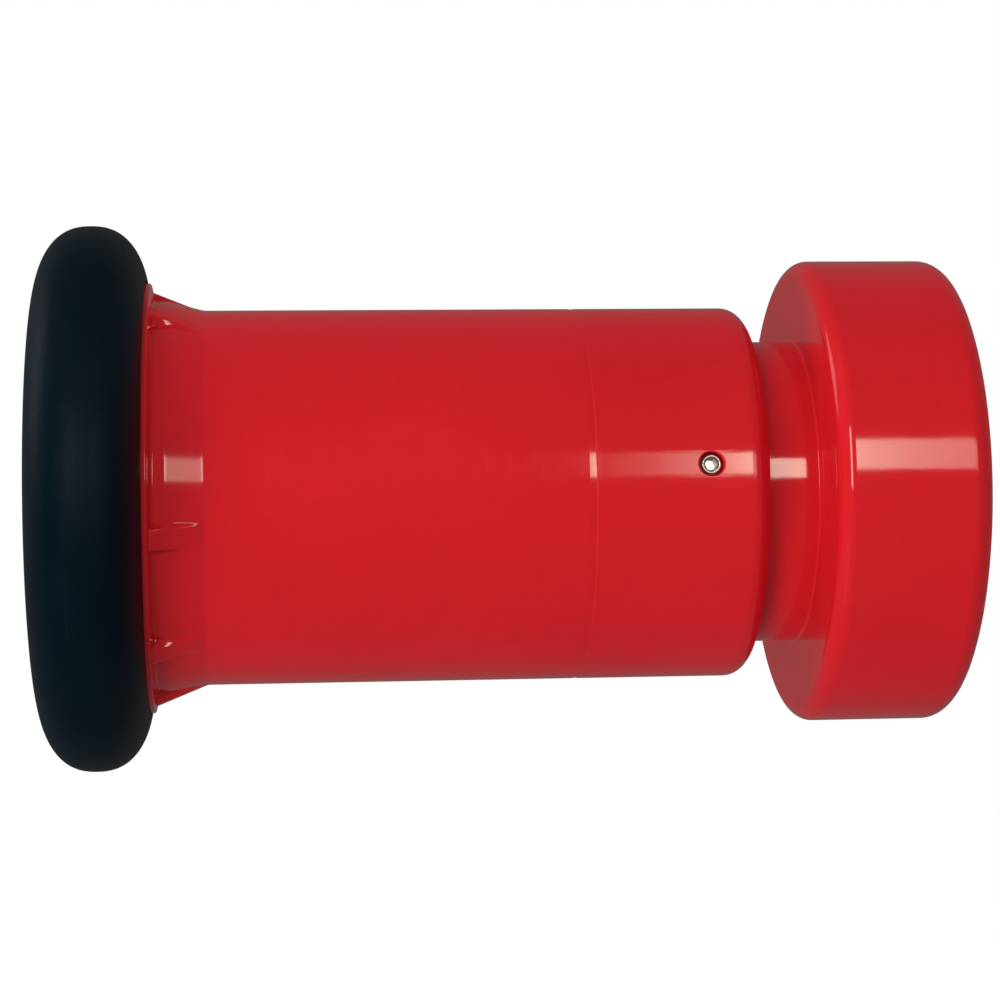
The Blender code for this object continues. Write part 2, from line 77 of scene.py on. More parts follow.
# Spider, baffle and their bolt
SPIDER_STOP = 86.0  # height of the tube's step, which the spider rests on
SPIDER_RING_R = 16.6
SPIDER_RING_LENGTH = 9.7
VANES = 4
VANE_HALF_WIDTH = 1.0
VANE_INSET = 0.5  # how far a vane stops short of the ring's ends
SPIDER_COLUMNS = 120
HUB_R = 6.5
STEM_R = 6.0
BOLT_HOLE_R = 3.3
BOLT_R = 3.0
BOLT_THREAD_PITCH = 1.0
BOLT_THREAD_DEPTH = 0.5
BOLT_THREAD_TURNS = 12
BOLT_HEAD_HEIGHT = 3.4
BOLT_RECESS_R = 6.0
SEAL_PILOT_R = 9.0  # the boss on the baffle head that centres the seal
DISH_DEPTH = 1.3
NUT_FLAT = 5.0  # half the width across its flats
NUT_COLLAR = 2.0
NUT_COLLAR_R = 4.7
NUT_THREAD_R = 3.15

# Barrel
BARREL_R = 26.6
BARREL_BORE_R = TUBE_R + GAP
GRIP_LINE = 53.3  # height of the fine groove round the grip
GRIP_LINE_DEPTH = 0.08
REAR_END_FILLET = 3.0
FLARE = 105.8
FLARE_END = 113.7
FLARE_R = 30.5
VALLEY_R = 27.9
RIB_PLACES = 10
BARE_PLACE = 9  # the one without a gusset
FIRST_RIB = math.radians(-29)
RIB_HALF_WIDTH = 1.5
RIB_SIDE = 0.7  # how far a gusset's side takes to run out
RIB_END_R = 29.8
RIB_ROW = 0.25  # between the rows of the mesh along a gusset
FLANGE_BACK = 118.0
FLANGE_FRONT = 122.6
NOSE_R = 28.4
MOUTH_R = 27.0
SEAT = 102.0
SEAT_R = 19.9
THROAT_R = 16.8
BELL_R = 22.3
BELL_END = SEAT + 12.5

# Cam
CAM_TURN = math.radians(270)
CAM_LEAD = 20.0
CAM_DEPTH = 1.3
CAM_SCREWS = 3
CAM_SCREW_R = 1.5
CAM_SCREW_TOP_R = BARREL_R - 0.5
DOG_R = 1.1
KEY_R = 0.87  # the hexagon socket of a cam screw, to its corners
KEY_DEPTH = 1.2

# Bumper
BUMPER_CENTRE = 121.4
BUMPER_HALF_WIDTH = 8.0
BUMPER_CROWN = 12.5  # how far its round outside would come in at its full width
BUMPER_SQUARENESS = 2.4  # 2 is an ellipse
BUMPER_LIP_R = 28.0
BUMPER_ROWS = 56

# Meshes
CLEAR = 1.0  # how far a cutting tool stands out past what it cuts
ARC_STEP = math.radians(9)  # the most that one facet of a fillet turns
FILLET_SHARE = 0.97  # how much of an edge the fillets at its ends may take
COLUMNS = 144  # round a turned piece
BODY_COLUMNS = 180
SMALL_COLUMNS = 96
TINY_COLUMNS = 72
HOLE_COLUMNS = 64
THREAD_STEPS = 90  # along one turn of the hose thread
BOLT_THREAD_STEPS = 40
GROOVE_STEPS = 120
SNAP_STEPS = 160
CORD_STEPS = 20  # round an O-ring's cord
SHARP_ANGLE = 32
TYRE_SHARP_ANGLE = 60
FLAT_WEIGHT = 80  # how much the flat faces decide the shading beside a fillet

# A mix node's inputs, and its output for colours
MIX_FACTOR = 0
MIX_NUMBERS = (2, 3)
MIX_COLOURS = (6, 7)
MIX_COLOUR_OUT = 2

# Light
WHITE = (1.0, 1.0, 1.0)
WARM = (1.0, 0.97, 0.80)
LIGHT_STRENGTH = 0.30  # of the surroundings, as light
MIRRORED_STRENGTH = 0.13  # of the surroundings, in the gloss


# ---------------------------------------------------------------- frame

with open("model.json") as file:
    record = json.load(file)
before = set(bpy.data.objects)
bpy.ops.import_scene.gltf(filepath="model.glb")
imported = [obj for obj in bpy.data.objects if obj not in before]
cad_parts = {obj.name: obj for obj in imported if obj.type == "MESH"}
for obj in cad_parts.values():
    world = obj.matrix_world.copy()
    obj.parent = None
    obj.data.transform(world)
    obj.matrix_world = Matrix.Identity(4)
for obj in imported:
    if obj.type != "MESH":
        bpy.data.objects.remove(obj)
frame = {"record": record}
cad_low, cad_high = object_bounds()
bodies = frame["record"]["behaviour"]["bodies"]
body_of_node = {node: body for body, nodes in bodies.items() for node in nodes}


def span(node):
    """(rear height, front height, radius) of a CAD node."""
    low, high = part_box(node)
    return -high.x / MM, -low.x / MM, high.z / MM


def middle(node):
    low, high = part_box(node)
    return (low + high) / 2 / MM


# ---------------------------------------------------------------- meshes


def rounded(corners, closed):
    """The outline through (radius, height, fillet) corners, with an arc in place of each corner."""
    points = []
    count = len(corners)
    for index, (radius, height, fillet) in enumerate(corners):
        here = Vector((radius, height))
        is_end = not closed and index in (0, count - 1)
        if fillet == 0 or is_end:
            points.append(here)
            continue
        back = Vector(corners[index - 1][:2]) - here
        ahead = Vector(corners[(index + 1) % count][:2]) - here
        half = back.angle(ahead) / 2
        back_share = fillet / (fillet + corners[index - 1][2])
        ahead_share = fillet / (fillet + corners[(index + 1) % count][2])
        room = FILLET_SHARE * min(back.length * back_share, ahead.length * ahead_share)
        reach = min(fillet / math.tan(half), room)
        arc_r = reach * math.tan(half)
        inward = (back.normalized() + ahead.normalized()).normalized()
        centre = here + inward * (arc_r / math.sin(half))
        start = (here + back.normalized() * reach - centre).normalized()
        end = (here + ahead.normalized() * reach - centre).normalized()
        steps = max(2, math.ceil((math.pi - 2 * half) / ARC_STEP))
        points += [centre + start.slerp(end, step / steps) * arc_r for step in range(steps + 1)]
    return points


def at(radius, height, angle):
    """The place of a point, in metres."""
    return Vector((-height, radius * math.sin(angle), radius * math.cos(angle))) * MM


def turned_mesh(name, outline, angles, closed=True, shape=None):
    """An outline turned about the axis. An open outline starts and ends on the axis."""
    rows = np.array([tuple(point) for point in outline])
    poles = [] if closed else [rows[0], rows[-1]]
    rows = rows if closed else rows[1:-1]
    radius = np.repeat(rows[:, :1], len(angles), axis=1)
    height = np.repeat(rows[:, 1:], len(angles), axis=1)
    if shape:
        radius = shape(radius, height, angles)
    places = np.stack([-height, radius * np.sin(angles), radius * np.cos(angles)], axis=2).reshape(-1, 3)
    row_count, columns = radius.shape
    ring = np.arange(columns)
    ahead = np.roll(ring, -1)
    faces = []
    for row in range(row_count if closed else row_count - 1):
        low, high = row * columns, (row + 1) % row_count * columns
        faces += np.stack([low + ring, high + ring, high + ahead, low + ahead], axis=1).tolist()
    for number, (pole, row) in enumerate(zip(poles, (0, row_count - 1))):
        places = np.vstack([places, [-pole[1], 0, 0]])
        base = row * columns
        faces += [[row_count * columns + number, base + int(a), base + int(b)] for a, b in zip(ring, ahead)]
    mesh = bpy.data.meshes.new(name)
    mesh.from_pydata((places * MM).tolist(), [], faces)
    shape_up(mesh)
    return mesh


def shape_up(mesh):
    """Points the faces outwards and shades them smooth."""
    made = bmesh.new()
    made.from_mesh(mesh)
    bmesh.ops.recalc_face_normals(made, faces=made.faces)
    made.to_mesh(mesh)
    made.free()
    mesh.shade_smooth()


def even(columns):
    return np.arange(columns) * math.tau / columns


def new_object(name, mesh, material=None):
    made = bpy.data.objects.new(name, mesh)
    bpy.context.scene.collection.objects.link(made)
    if material:
        mesh.materials.append(material)
    return made


def swept_mesh(name, section, start, turn, rise, steps):
    """A closed (radius, height) section carried along a helix, with its two ends closed."""
    places = []
    for step in range(steps + 1):
        angle = start + turn * step / steps
        lift = rise * step / steps
        places += [tuple(at(radius, height + lift, angle)) for radius, height in section]
    count = len(section)
    faces = [tuple(range(count)), tuple(steps * count + corner for corner in range(count))]
    for step in range(steps):
        low, high = step * count, (step + 1) * count
        for corner in range(count):
            after = (corner + 1) % count
            faces.append((low + corner, low + after, high + after, high + corner))
    mesh = bpy.data.meshes.new(name)
    mesh.from_pydata(places, [], faces)
    shape_up(mesh)
    return mesh


def prism_mesh(name, corners, low, high):
    """A prism along the axis from (radius, angle) corners."""
    places = [tuple(at(radius, height, angle)) for height in (low, high) for radius, angle in corners]
    count = len(corners)
    faces = [tuple(range(count)), tuple(range(count, 2 * count))]
    for corner in range(count):
        after = (corner + 1) % count
        faces.append((corner, after, count + after, count + corner))
    mesh = bpy.data.meshes.new(name)
    mesh.from_pydata(places, [], faces)
    shape_up(mesh)
    return mesh


def polygon(sides, radius):
    return [(radius, side * math.tau / sides) for side in range(sides)]


def combine(obj, mesh, operation):
    """Cuts a mesh from obj, or joins it to obj, for good."""
    other = new_object("tool", mesh)
    modifier = obj.modifiers.new("combine", "BOOLEAN")
    modifier.operation = operation
    modifier.object = other
    bpy.context.view_layer.update()
    graph = bpy.context.evaluated_depsgraph_get()
    made = bpy.data.meshes.new_from_object(obj.evaluated_get(graph))
    obj.modifiers.clear()
    obj.data = made
    bpy.data.objects.remove(other)


def finish_piece(obj, node, sharp=SHARP_ANGLE):
    """Sharpens the edges, keeps flat faces flat in the shading, and gives the piece its CAD node's place."""
    obj.data.shade_smooth()
    obj.data.set_sharp_from_angle(angle=math.radians(sharp))
    weighted = obj.modifiers.new("shading", "WEIGHTED_NORMAL")
    weighted.keep_sharp = True
    weighted.weight = FLAT_WEIGHT
    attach(obj, body_of_node[node])
    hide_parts(node)


def turned_piece(node, corners, material, columns=COLUMNS, closed=True):
    mesh = turned_mesh(node + "_surface", rounded(corners, closed), even(columns), closed)
    return new_object(node + "_surface", mesh, material)


# ---------------------------------------------------------------- materials


class Nodes:
    """Adds shader nodes to one material and links them."""

    def __init__(self, name):
        self.material = bpy.data.materials.new(name)
        self.material.use_nodes = True
        self.tree = self.material.node_tree
        self.shader = self.tree.nodes["Principled BSDF"]

    def add(self, kind, inputs=None, **settings):
        made = self.tree.nodes.new("ShaderNode" + kind)
        for key, value in settings.items():
            setattr(made, key, value)
        for key, value in (inputs or {}).items():
            self.feed(made.inputs[key], value)
        return made

    def feed(self, socket, value):
        if isinstance(value, bpy.types.NodeSocket):
            self.tree.links.new(value, socket)
        else:
            socket.default_value = value

    def math(self, operation, first, second=0.0):
        return self.add("Math", {0: first, 1: second}, operation=operation).outputs[0]

    def place(self):
        return self.add("TexCoord").outputs["Object"]

    def noise(self, scale, detail=2.0, roughness=0.5, stretch=None):
        """Noise with features of about 1/scale metres."""
        where = self.place()
        if stretch:
            where = self.add("Mapping", {"Vector": where, "Scale": stretch}).outputs[0]
        inputs = {"Vector": where, "Scale": scale, "Detail": detail, "Roughness": roughness}
        return self.add("TexNoise", inputs).outputs["Fac"]

    def between(self, factor, low, high, from_low=0.0, from_high=1.0):
        """A number that runs from low to high as the factor does from from_low to from_high."""
        inputs = {"Value": factor, "From Min": from_low, "From Max": from_high, "To Min": low, "To Max": high}
        return self.add("MapRange", inputs).outputs["Result"]

    def blend(self, factor, first, second):
        mixed = self.add("Mix", data_type="RGBA")
        self.feed(mixed.inputs[MIX_FACTOR], factor)
        self.feed(mixed.inputs[MIX_COLOURS[0]], (*first, 1.0) if isinstance(first, tuple) else first)
        self.feed(mixed.inputs[MIX_COLOURS[1]], (*second, 1.0) if isinstance(second, tuple) else second)
        return mixed.outputs[MIX_COLOUR_OUT]

    def cylinder(self):
        """The radius and the x of a point, in metres."""
        split = self.add("SeparateXYZ", {"Vector": self.place()})
        x, y, z = (split.outputs[axis] for axis in "XYZ")
        squares = self.math("ADD", self.math("MULTIPLY", y, y), self.math("MULTIPLY", z, z))
        return self.math("SQRT", squares), x

    def bump(self, height, distance, strength, normal=None):
        inputs = {"Height": height, "Distance": distance, "Strength": strength}
        if normal:
            inputs["Normal"] = normal
        return self.add("Bump", inputs).outputs["Normal"]

    def set(self, **values):
        for key, value in values.items():
            self.feed(self.shader.inputs[key.replace("_", " ")], value)


def red_polycarbonate():
    """Glossy moulded plastic: a little uneven in colour, faint orange peel, fine marks from handling."""
    n = Nodes("red polycarbonate")
    flow = n.noise(26.0, 3.0)
    pigment = n.noise(420.0, 3.0)
    dark, light, speck = (0.600, 0.0072, 0.0140), (0.650, 0.0094, 0.0165), (0.50, 0.005, 0.010)
    colour = n.blend(n.between(flow, 0.0, 1.0, 0.3, 0.7), dark, light)
    colour = n.blend(n.between(pigment, 0.0, 0.16, 0.45, 0.75), colour, speck)
    hair = n.noise(60.0, 4.0, stretch=(38.0, 1.0, 1.0))
    scuff = n.between(hair, 0.0, 0.05, 0.58, 0.70)
    haze = n.between(n.noise(75.0, 3.0), 0.075, 0.115, 0.3, 0.7)
    peel = n.bump(n.noise(620.0, 2.0), 0.00001, 0.25)
    marks = n.bump(hair, 0.000006, 0.15, peel)
    n.set(Base_Color=colour, Roughness=n.math("ADD", haze, scuff), Normal=marks)
    n.set(IOR=1.55)
    return n.material


def bumper_rubber():
    """Black moulded rubber with a fine grain and a dull bloom in patches."""
    n = Nodes("bumper rubber")
    bloom = n.noise(55.0, 4.0)
    grain = n.noise(2600.0, 3.0, 0.6)
    pits = n.noise(900.0, 2.0)
    dark, light = (0.0006, 0.0050, 0.0094), (0.0016, 0.0068, 0.0118)
    colour = n.blend(n.between(bloom, 0.0, 1.0, 0.35, 0.7), dark, light)
    rough = n.math("ADD", n.between(bloom, 0.40, 0.50, 0.3, 0.7), n.between(grain, -0.04, 0.04, 0.3, 0.7))
    fine = n.bump(grain, 0.00005, 0.5)
    n.set(Base_Color=colour, Roughness=rough, Normal=n.bump(pits, 0.00004, 0.3, fine))
    n.set(IOR=1.45, Specular_IOR_Level=0.12)
    return n.material


def seal_rubber():
    """Softer, duller rubber for the seals, with a trace of grease."""
    n = Nodes("seal rubber")
    grease = n.noise(210.0, 3.0)
    grain = n.noise(3400.0, 2.0)
    colour = n.blend(grease, (0.009, 0.009, 0.010), (0.020, 0.020, 0.021))
    n.set(Base_Color=colour, Roughness=n.between(grease, 0.32, 0.6, 0.35, 0.65))
    n.set(Normal=n.bump(grain, 0.00004, 0.4))
    return n.material


def stainless_steel():
    """Turned stainless steel: fine rings round the axis and faint discolouring."""
    n = Nodes("stainless steel")
    radius, x = n.cylinder()
    across = n.math("ADD", radius, n.math("MULTIPLY", x, 0.7))
    rings = n.add("TexNoise", {"W": n.math("MULTIPLY", across, 5200.0), "Detail": 2.0}, noise_dimensions="1D")
    tint = n.noise(160.0, 3.0)
    colour = n.blend(n.between(tint, 0.0, 1.0, 0.35, 0.7), (0.66, 0.65, 0.63), (0.56, 0.55, 0.53))
    rough = n.between(rings.outputs[0], 0.2, 0.36, 0.3, 0.7)
    n.set(Base_Color=colour, Metallic=1.0, Roughness=rough)
    n.set(Normal=n.bump(rings.outputs[0], 0.00001, 0.4))
    return n.material


def white_nylon():
    """Plain nylon, slightly milky and uneven."""
    n = Nodes("white nylon")
    mottle = n.noise(700.0, 3.0)
    colour = n.blend(n.between(mottle, 0.0, 1.0, 0.35, 0.65), (0.74, 0.73, 0.68), (0.66, 0.65, 0.59))
    n.set(Base_Color=colour, Roughness=n.between(mottle, 0.38, 0.5, 0.3, 0.7))
    n.set(Normal=n.bump(mottle, 0.00002, 0.3))
    return n.material


# ---------------------------------------------------------------- base


def inlet_body():
    """Coupling and tube in one moulding, with the hose thread, the cam grooves and small parts' seats."""
    _, end, outer_r = span("inlet_body")
    gasket_low, gasket_high, gasket_r = span("inlet_gasket")
    recess, floor, recess_r = gasket_low - GAP, gasket_high + GAP, gasket_r + GAP
    chamfer_width, chamfer_length = 0.5, 0.8
    front = [(FRONT_BORE_R, end, 0.3), (TUBE_R - chamfer_width, end, 0.4)]
    front += [(TUBE_R, end - chamfer_length, 0.4)]
    for node in ("front_o_ring", "rear_o_ring"):
        centre = -middle(node).x
        high, low = centre + O_RING_SEAT_HALF, centre - O_RING_SEAT_HALF
        front += [(TUBE_R, high, 0.15), (O_RING_SEAT_R, high, 0.2)]
        front += [(O_RING_SEAT_R, low, 0.2), (TUBE_R, low, 0.15)]
    outside = [(TUBE_R, SHOULDER, 0.4), (outer_r, SHOULDER, FRONT_FILLET), (outer_r, 0, REAR_FILLET)]
    mouth_r = THREAD_CREST_R + LEAD_IN
    socket = [(mouth_r, 0, 0.35), (THREAD_CREST_R, LEAD_IN, 0.3), (THREAD_CREST_R, recess, 0.2)]
    socket += [(recess_r, recess, 0.2), (recess_r, floor, 0.3), (BORE_R, floor, 0.5)]
    ring_low, ring_high, _ = span("spider_snap_ring")
    bore = [(BORE_R, ring_low - GAP, 0.1), (SNAP_SEAT_R, ring_low - GAP, 0.15)]
    bore += [(SNAP_SEAT_R, ring_high + GAP, 0.15), (BORE_R, ring_high + GAP, 0.1)]
    bore += [(BORE_R, SPIDER_STOP, 0.2), (FRONT_BORE_R, SPIDER_STOP, 0.3)]
    obj = turned_piece("inlet_body", front + outside + socket + bore, RED, BODY_COLUMNS)
    combine(obj, thread_tool(recess), "DIFFERENCE")
    for number in range(CAM_SCREWS):
        combine(obj, cam_groove_tool(number), "DIFFERENCE")
    finish_piece(obj, "inlet_body")


def thread_tool(recess):
    """The helical V that leaves the hose thread in the coupling's bore, with eased roots and crests."""
    start = -2 * THREAD_PITCH
    length = recess + THREAD_PITCH - start
    turns = length / THREAD_PITCH
    half_root, half_crest, half_out = 0.10 * THREAD_PITCH, 0.385 * THREAD_PITCH, 0.49 * THREAD_PITCH
    side = [(THREAD_ROOT_R, half_root - 0.12), (THREAD_ROOT_R - 0.1, half_root + 0.02)]
    side += [(THREAD_CREST_R + 0.12, half_crest - 0.04), (THREAD_CREST_R - 0.1, half_crest + 0.14)]
    side += [(THREAD_CREST_R - 0.5, half_out)]
    steps = round(turns * THREAD_STEPS)
    return swept_mesh("thread", two_sided(side, start), 0.0, turns * math.tau, length, steps)


def two_sided(side, start):
    """A groove's section at a height, from the (radius, height) points of its front side."""
    section = [(radius, start + height) for radius, height in side]
    return section + [(radius, start - height) for radius, height in reversed(side)]


def cam_angle(number):
    """The angle of one cam screw, from where its CAD node is."""
    place = middle(f"cam_screw_{number + 1}")
    return math.atan2(place.y, place.z)


def cam_height():
    return -middle("cam_screw_1").x


def cam_groove_tool(number):
    """One helical groove with a small chamfer along its mouth."""
    half = DOG_R + GAP
    spare = half / TUBE_R
    floor, chamfer = TUBE_R - CAM_DEPTH, 0.25
    along = half / math.cos(math.atan(CAM_LEAD / math.tau / TUBE_R))
    turn = CAM_TURN + 2 * spare
    start = cam_height() - CAM_LEAD * spare / math.tau
    side = [(floor, along - chamfer), (floor + chamfer, along), (TUBE_R - chamfer, along)]
    side += [(TUBE_R + chamfer, along + 2 * chamfer)]
    rise = CAM_LEAD * turn / math.tau
    return swept_mesh("groove", two_sided(side, start), cam_angle(number) - spare, turn, rise, GROOVE_STEPS)


def inlet_gasket():
    low, high, outer = span("inlet_gasket")
    inner = GASKET_BORE_R
    corners = [(inner, high, 0.6), (outer, high, 0.5), (outer, low, 0.5), (inner, low, 0.6)]
    finish_piece(turned_piece("inlet_gasket", corners, SEAL), "inlet_gasket")


def stem_spider():
    """A ring and a hub joined by four vanes."""
    low, high = -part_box("stem_spider")[1].x / MM, -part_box("stem_spider")[0].x / MM
    inner, outer = SPIDER_RING_R, BORE_R - GAP
    ring_high = SPIDER_STOP - GAP
    ring_low = ring_high - SPIDER_RING_LENGTH
    corners = [(inner, ring_high, 0.4), (outer, ring_high, 0.4)]
    corners += [(outer, ring_low, 0.4), (inner, ring_low, 0.4)]
    obj = turned_piece("stem_spider", corners, RED, SPIDER_COLUMNS)
    root_r, tip_r = BOLT_HOLE_R + 1.2, SPIDER_RING_R + 0.8
    for number in range(VANES):
        angle = (number + 0.5) * math.tau / VANES
        vane = vane_mesh(angle, root_r, tip_r, ring_low + VANE_INSET, ring_high - VANE_INSET)
        combine(obj, vane, "UNION")
    sleeve_r, core_r, core_inset = BOLT_HOLE_R + 1.0, BOLT_HOLE_R + 1.6, 0.9
    hub = [(sleeve_r, high, 0.2), (HUB_R, high, 0.8), (HUB_R, low, 0.8), (sleeve_r, low, 0.2)]
    combine(obj, turned_mesh("hub", rounded(hub, True), even(TINY_COLUMNS)), "UNION")
    core = [(BOLT_HOLE_R, high, 0.3), (core_r, high - core_inset, 0)]
    core += [(core_r, low + core_inset, 0), (BOLT_HOLE_R, low, 0.3)]
    combine(obj, turned_mesh("core", rounded(core, True), even(TINY_COLUMNS)), "UNION")
    finish_piece(obj, "stem_spider")


def vane_mesh(angle, inner, outer, low, high):
    """A vane whose front and rear edges are round."""
    half = VANE_HALF_WIDTH
    outline = []
    for centre, first in ((high - half, 0), (low + half, 180)):
        for degrees in range(first, first + 181, 20):
            turn = math.radians(degrees)
            outline.append((half * math.cos(turn), centre + half * math.sin(turn)))
    count = len(outline)
    places = []
    sideways = Vector((0, math.cos(angle), -math.sin(angle)))
    for radius in (inner, outer):
        places += [tuple(at(radius, height, angle) + sideways * aside * MM) for aside, height in outline]
    faces = [tuple(range(count)), tuple(range(count, 2 * count))]
    for corner in range(count):
        after = (corner + 1) % count
        faces.append((corner, after, count + after, count + corner))
    mesh = bpy.data.meshes.new("vane")
    mesh.from_pydata(places, [], faces)
    shape_up(mesh)
    return mesh


def spider_snap_ring():
    """An open spring ring, in the tube's groove behind the spider."""
    low, high, _ = span("spider_snap_ring")
    inner, outer, edge = SNAP_INNER_R, SNAP_OUTER_R, 0.15
    section = [(inner, low + edge), (inner, high - edge), (inner + edge, high), (outer - edge, high)]
    section += [(outer, high - edge), (outer, low + edge), (outer - edge, low), (inner + edge, low)]
    start, turn = math.radians(-72), math.radians(325)
    mesh = swept_mesh("snap", section, start, turn, 0, SNAP_STEPS)
    finish_piece(new_object("spider_snap_ring_surface", mesh, STEEL), "spider_snap_ring")


def baffle_stem():
    """The stem on the spider's hub, and the cone that turns the water outwards."""
    low, high, rim_r = span("baffle_stem")
    corners = [(BOLT_HOLE_R, high, 0.3), (rim_r, high, 0.3), (11.0, high - 3.7, 3.0), (7.6, high - 7.9, 4.0)]
    corners += [(STEM_R, high - 12.8, 5.0), (STEM_R, low, 0.4), (BOLT_HOLE_R, low, 0.3)]
    finish_piece(turned_piece("baffle_stem", corners, RED), "baffle_stem")


def baffle_head():
    """The dished disc in front, with the boss that centres the seal."""
    low, high, outer = span("baffle_head")
    back = span("baffle_seal")[1] + GAP
    recess_floor = span("baffle_washer")[0] - GAP
    land, dish = high - 0.4, high - DISH_DEPTH
    corners = [(BOLT_RECESS_R, land, 0.3), (8.0, land, 0.5), (9.2, dish, 0.9), (14.4, dish, 1.2)]
    corners += [(16.4, high, 0.8), (outer, high, 1.2), (outer, back, 0.25), (SEAL_PILOT_R, back, 0.2)]
    corners += [(SEAL_PILOT_R, low, 0.3), (BOLT_HOLE_R, low, 0.2), (BOLT_HOLE_R, recess_floor, 0.15)]
    corners += [(BOLT_RECESS_R, recess_floor, 0.3)]
    finish_piece(turned_piece("baffle_head", corners, RED), "baffle_head")


def baffle_seal():
    low, high, outer = span("baffle_seal")
    inner = SEAL_PILOT_R + GAP
    corners = [(inner, high, 0.15), (outer, high, 0.15), (outer, low, 0.4), (inner, low, 0.15)]
    finish_piece(turned_piece("baffle_seal", corners, SEAL), "baffle_seal")


def baffle_bolt():
    """A button-head bolt with a hexagon socket, and its thread where it stands out of the nut."""
    tip, top = -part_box("baffle_bolt")[1].x / MM, -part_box("baffle_bolt")[0].x / MM
    head_r = span("baffle_bolt")[2]
    head_low = top - BOLT_HEAD_HEIGHT
    chamfer, socket_r, socket_depth = 0.8, 2.3, 1.9
    points = [(0, top, 0), (0.55 * head_r, top, 1.2), (0.93 * head_r, head_low + 1.9, 1.5)]
    points += [(head_r, head_low + 0.6, 0.6), (head_r, head_low, 0.15), (BOLT_R, head_low, 0.2)]
    points += [(BOLT_R, tip + chamfer, 0.2), (BOLT_R - chamfer, tip, 0.15), (0, tip, 0)]
    obj = turned_piece("baffle_bolt", points, STEEL, SMALL_COLUMNS, closed=False)
    combine(obj, prism_mesh("socket", polygon(6, socket_r), top - socket_depth, top + CLEAR), "DIFFERENCE")
    start, root_r, outside = tip - 2 * BOLT_THREAD_PITCH, BOLT_R - BOLT_THREAD_DEPTH, BOLT_R + 0.2
    half_root, half_out = 0.03, 0.55
    section = [(root_r, start - half_root), (root_r, start + half_root)]
    section += [(outside, start + half_out), (outside, start - half_out)]
    turn, rise = BOLT_THREAD_TURNS * math.tau, BOLT_THREAD_TURNS * BOLT_THREAD_PITCH
    thread = swept_mesh("bolt_thread", section, 0.0, turn, rise, BOLT_THREAD_TURNS * BOLT_THREAD_STEPS)
    combine(obj, thread, "DIFFERENCE")
    finish_piece(obj, "baffle_bolt")


def plain_washer(node):
    low, high, outer = span(node)
    inner = BOLT_HOLE_R
    corners = [(inner, high, 0.12), (outer, high, 0.25), (outer, low, 0.12), (inner, low, 0.12)]
    finish_piece(turned_piece(node, corners, STEEL, SMALL_COLUMNS), node)


def stem_lock_nut():
    """A self-locking hexagon nut: chamfered corners, and a round collar that holds its nylon ring."""
    low, high, _ = span("stem_lock_nut")
    rear = low + NUT_COLLAR
    hexagon = prism_mesh("hexagon", polygon(6, NUT_FLAT / math.cos(math.pi / 6)), rear, high)
    obj = new_object("stem_lock_nut_surface", hexagon, STEEL)
    flat_r, corner_r, chamfer = NUT_FLAT + 0.1, NUT_FLAT + 1.1, 0.6
    dome = [(0, high, 0), (flat_r, high, 0), (corner_r, high - chamfer, 0)]
    dome += [(corner_r, rear + chamfer, 0), (flat_r, rear, 0), (0, rear, 0)]
    combine(obj, solid_tool("dome", dome), "INTERSECT")
    inside, front = NUT_COLLAR_R - 1.2, high - 0.8
    collar = [(inside, front, 0), (NUT_COLLAR_R, front, 0), (NUT_COLLAR_R, low, 0.7), (inside, low, 0.2)]
    combine(obj, turned_mesh("collar", rounded(collar, True), even(SMALL_COLUMNS)), "UNION")
    mouth_r, lead_in = 4.1, 0.6
    hole = [(0, high + CLEAR, 0), (mouth_r, high + CLEAR, 0), (NUT_THREAD_R, high - lead_in, 0)]
    hole += [(NUT_THREAD_R, low - CLEAR, 0), (0, low - CLEAR, 0)]
    combine(obj, solid_tool("hole", hole), "DIFFERENCE")
    ring_low, ring_high, ring_r = span("nut_nylon_ring")
    seat_gap = 0.1
    seat = [(0, ring_high + seat_gap, 0), (ring_r + seat_gap, ring_high + seat_gap, 0)]
    seat += [(ring_r + seat_gap, ring_low - seat_gap, 0), (0, ring_low - seat_gap, 0)]
    combine(obj, solid_tool("seat", seat), "DIFFERENCE")
    finish_piece(obj, "stem_lock_nut")


def solid_tool(name, corners, columns=SMALL_COLUMNS):
    """A solid turned shape, to combine with a piece."""
    return turned_mesh(name, rounded(corners, False), even(columns), closed=False)


def nut_nylon_ring():
    low, high, outer = span("nut_nylon_ring")
    inner = 3.1
    corners = [(inner, high, 0.2), (outer, high, 0.2), (outer, low, 0.2), (inner, low, 0.3)]
    finish_piece(turned_piece("nut_nylon_ring", corners, NYLON, SMALL_COLUMNS), "nut_nylon_ring")


def o_ring(node):
    low, high, outer = span(node)
    cord_r = (high - low) / 2
    centre_r, centre = outer - cord_r, (low + high) / 2
    turns = [math.tau * step / CORD_STEPS for step in range(CORD_STEPS)]
    outline = [(centre_r + cord_r * math.cos(turn), centre + cord_r * math.sin(turn)) for turn in turns]
    mesh = turned_mesh(node + "_surface", outline, even(COLUMNS))
    finish_piece(new_object(node + "_surface", mesh, SEAL), node)


# ---------------------------------------------------------------- barrel


def rib_angles():
    """Angles round the barrel, close together at each gusset."""
    pitch = math.tau / RIB_PLACES
    reach, step, sparse = 6.0, 0.4, 22
    near = np.radians(np.arange(-reach, reach + 0.01, step))
    rest = np.linspace(near[-1], pitch + near[0], sparse)[1:-1]
    one = np.concatenate([near, rest])
    every = np.concatenate([one + number * pitch + FIRST_RIB for number in range(RIB_PLACES)])
    return np.sort(every % math.tau)


def ease(value):
    value = np.clip(value, 0, 1)
    return value * value * (3 - 2 * value)


